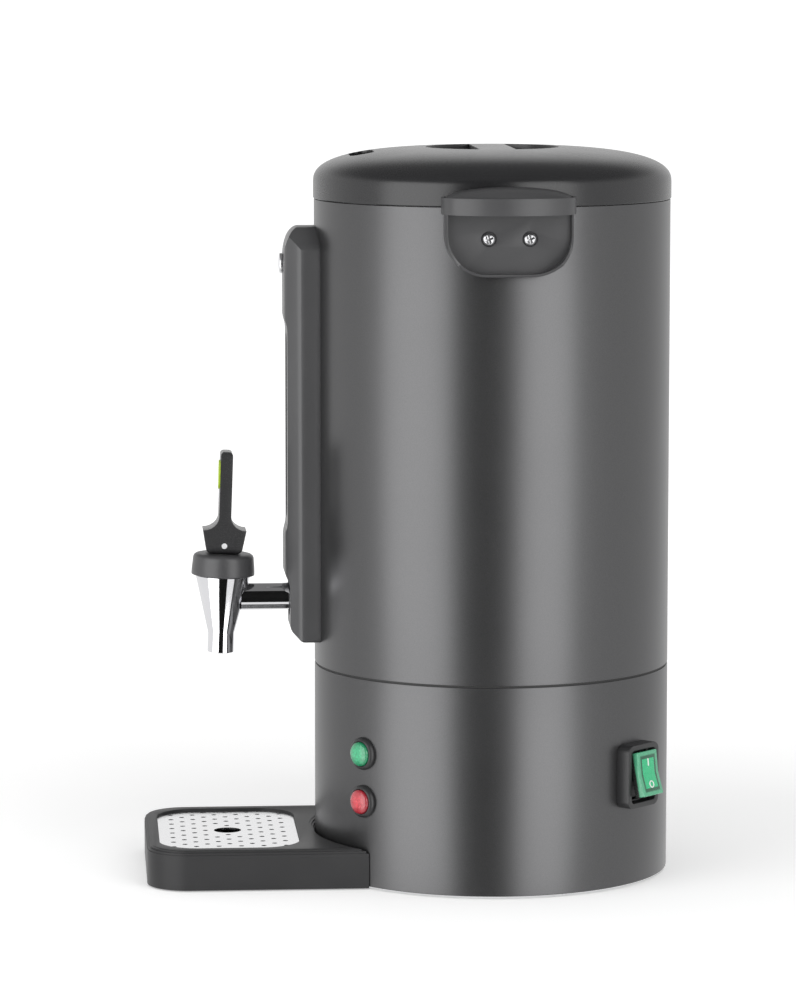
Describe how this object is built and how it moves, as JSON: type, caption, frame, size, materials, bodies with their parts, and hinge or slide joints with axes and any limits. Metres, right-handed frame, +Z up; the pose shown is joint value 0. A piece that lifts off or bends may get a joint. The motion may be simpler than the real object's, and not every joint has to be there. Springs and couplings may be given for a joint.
{
  "type": "coffee urn",
  "caption": "Cylindrical electric coffee urn with a front tap, sight-glass column, domed lift-off lid, side handles, pilot lamps, rocker switch and a perforated drip tray.",
  "frame": {"origin": "on the urn's axis, in the plane that it stands on", "axes": "+Z up, -Y towards the tap and drip tray, +X towards the right-hand handle seen from the front"},
  "size_m": [0.268, 0.3265, 0.4492],
  "materials": {
    "jacket_paint": "satin",
    "black_plastic": "fine satin",
    "dark_plastic": "matt",
    "white_plastic": "matt",
    "steel": "satin",
    "chrome": "polished",
    "aluminium": "cast",
    "brass": "turned",
    "silicone": "matt",
    "rubber": "matt",
    "glass": "clear",
    "green_lens": "ribbed, clear",
    "red_lens": "ribbed, clear",
    "green_rocker": "gloss",
    "boot_film": "soft clear",
    "lime": "gloss",
    "ceramic": "matt",
    "wire_cover": "matt"
  },
  "bodies": {
    "urn": {"base_housing": "jacket_paint", "base_plate": "steel", "feet": "rubber", "base_screws": "steel", "seam_ring": "dark_plastic", "outer_jacket": "jacket_paint", "inner_vessel": "steel", "neck_ring": "dark_plastic", "handle_right": "black_plastic", "handle_left": "black_plastic", "handle_screws": "steel", "handle_backings": "steel", "column_cover": "black_plastic", "sight_tube": "glass", "tube_seals": "silicone", "tube_elbow": "dark_plastic", "tube_holder": "dark_plastic", "plug_button": "steel", "tap_shank": "chrome", "shank_seal": "silicone", "shank_nut": "brass", "tap_body": "chrome", "tap_cap": "black_plastic", "tap_spring": "steel", "lamp_bezels": "dark_plastic", "green_lens": "green_lens", "red_lens": "red_lens", "lamp_bodies": "white_plastic", "lamp_nuts": "dark_plastic", "switch_bezel": "dark_plastic", "switch_body": "dark_plastic", "cord_gland": "dark_plastic", "gland_nut": "dark_plastic", "element_plate": "aluminium", "ring_heater": "steel", "plate_nuts": "brass", "thermostat": "ceramic", "safety_cutout": "ceramic", "terminal_block": "ceramic", "wiring": "wire_cover"},
    "stem": {"tap_stem": "steel", "seat_cup": "silicone"},
    "lever": {"tap_lever": "black_plastic", "lever_insert": "lime", "lever_pin": "steel"},
    "rocker": {"switch_rocker": "green_rocker", "switch_boot": "boot_film"},
    "pump": {"pump_foot": "steel", "pump_tube": "steel"},
    "basket": {"coffee_basket": "steel"},
    "basket_cover": {"basket_lid": "steel"},
    "gasket": {"lid_gasket": "silicone"},
    "lid": {"lid_liner": "steel", "lid_shell": "black_plastic", "lid_screws": "steel"},
    "tray": {"drip_tray": "black_plastic", "tray_feet": "rubber"},
    "grille": {"tray_grille": "steel"}
  },
  "joints": [
    {"name": "stem_lift", "type": "slide", "parent": "urn", "child": "stem", "axis": [0, 0.0349, 0.9994], "range_m": [0, 0.0032], "deforming": ["tap_spring"]},
    {"name": "lever_tilt", "type": "hinge", "parent": "stem", "child": "lever", "pos_m": [0, -0.16645, 0.20378], "axis": [1, 0, 0], "range_deg": [0, 25], "stiffness_Nm_per_rad": 0.12, "springref_deg": -17.19},
    {"name": "rocker_swing", "type": "hinge", "parent": "urn", "child": "rocker", "pos_m": [0.07707, 0.08264, 0.0695], "axis": [-0.7314, 0.682, 0], "range_deg": [0, 24]},
    {"name": "pump_lift", "type": "slide", "parent": "urn", "child": "pump", "axis": [0, 0, 1], "range_m": [0, 0.29]},
    {"name": "basket_lift", "type": "slide", "parent": "pump", "child": "basket", "axis": [0, 0, 1], "range_m": [0, 0.09]},
    {"name": "basket_lid_lift", "type": "slide", "parent": "basket", "child": "basket_cover", "axis": [0, 0, 1], "range_m": [0, 0.05]},
    {"name": "lid_lift", "type": "slide", "parent": "basket_cover", "child": "gasket", "axis": [0, 0, 1], "range_m": [0, 0.2]},
    {"name": "lid_turn", "type": "hinge", "parent": "gasket", "child": "lid", "pos_m": [0, 0, 0.4], "axis": [0, 0, 1], "range_deg": [0, 30]},
    {"name": "tray_slide", "type": "slide", "parent": "urn", "child": "tray", "axis": [0, -1, 0], "range_m": [0, 0.15]},
    {"name": "grille_lift", "type": "slide", "parent": "tray", "child": "grille", "axis": [0, 0, 1], "range_m": [0, 0.06]}
  ],
  "couplings": [
    {"joint": "lever_tilt", "follows": "stem_lift", "rad_per_m": 136.35}
  ]
}
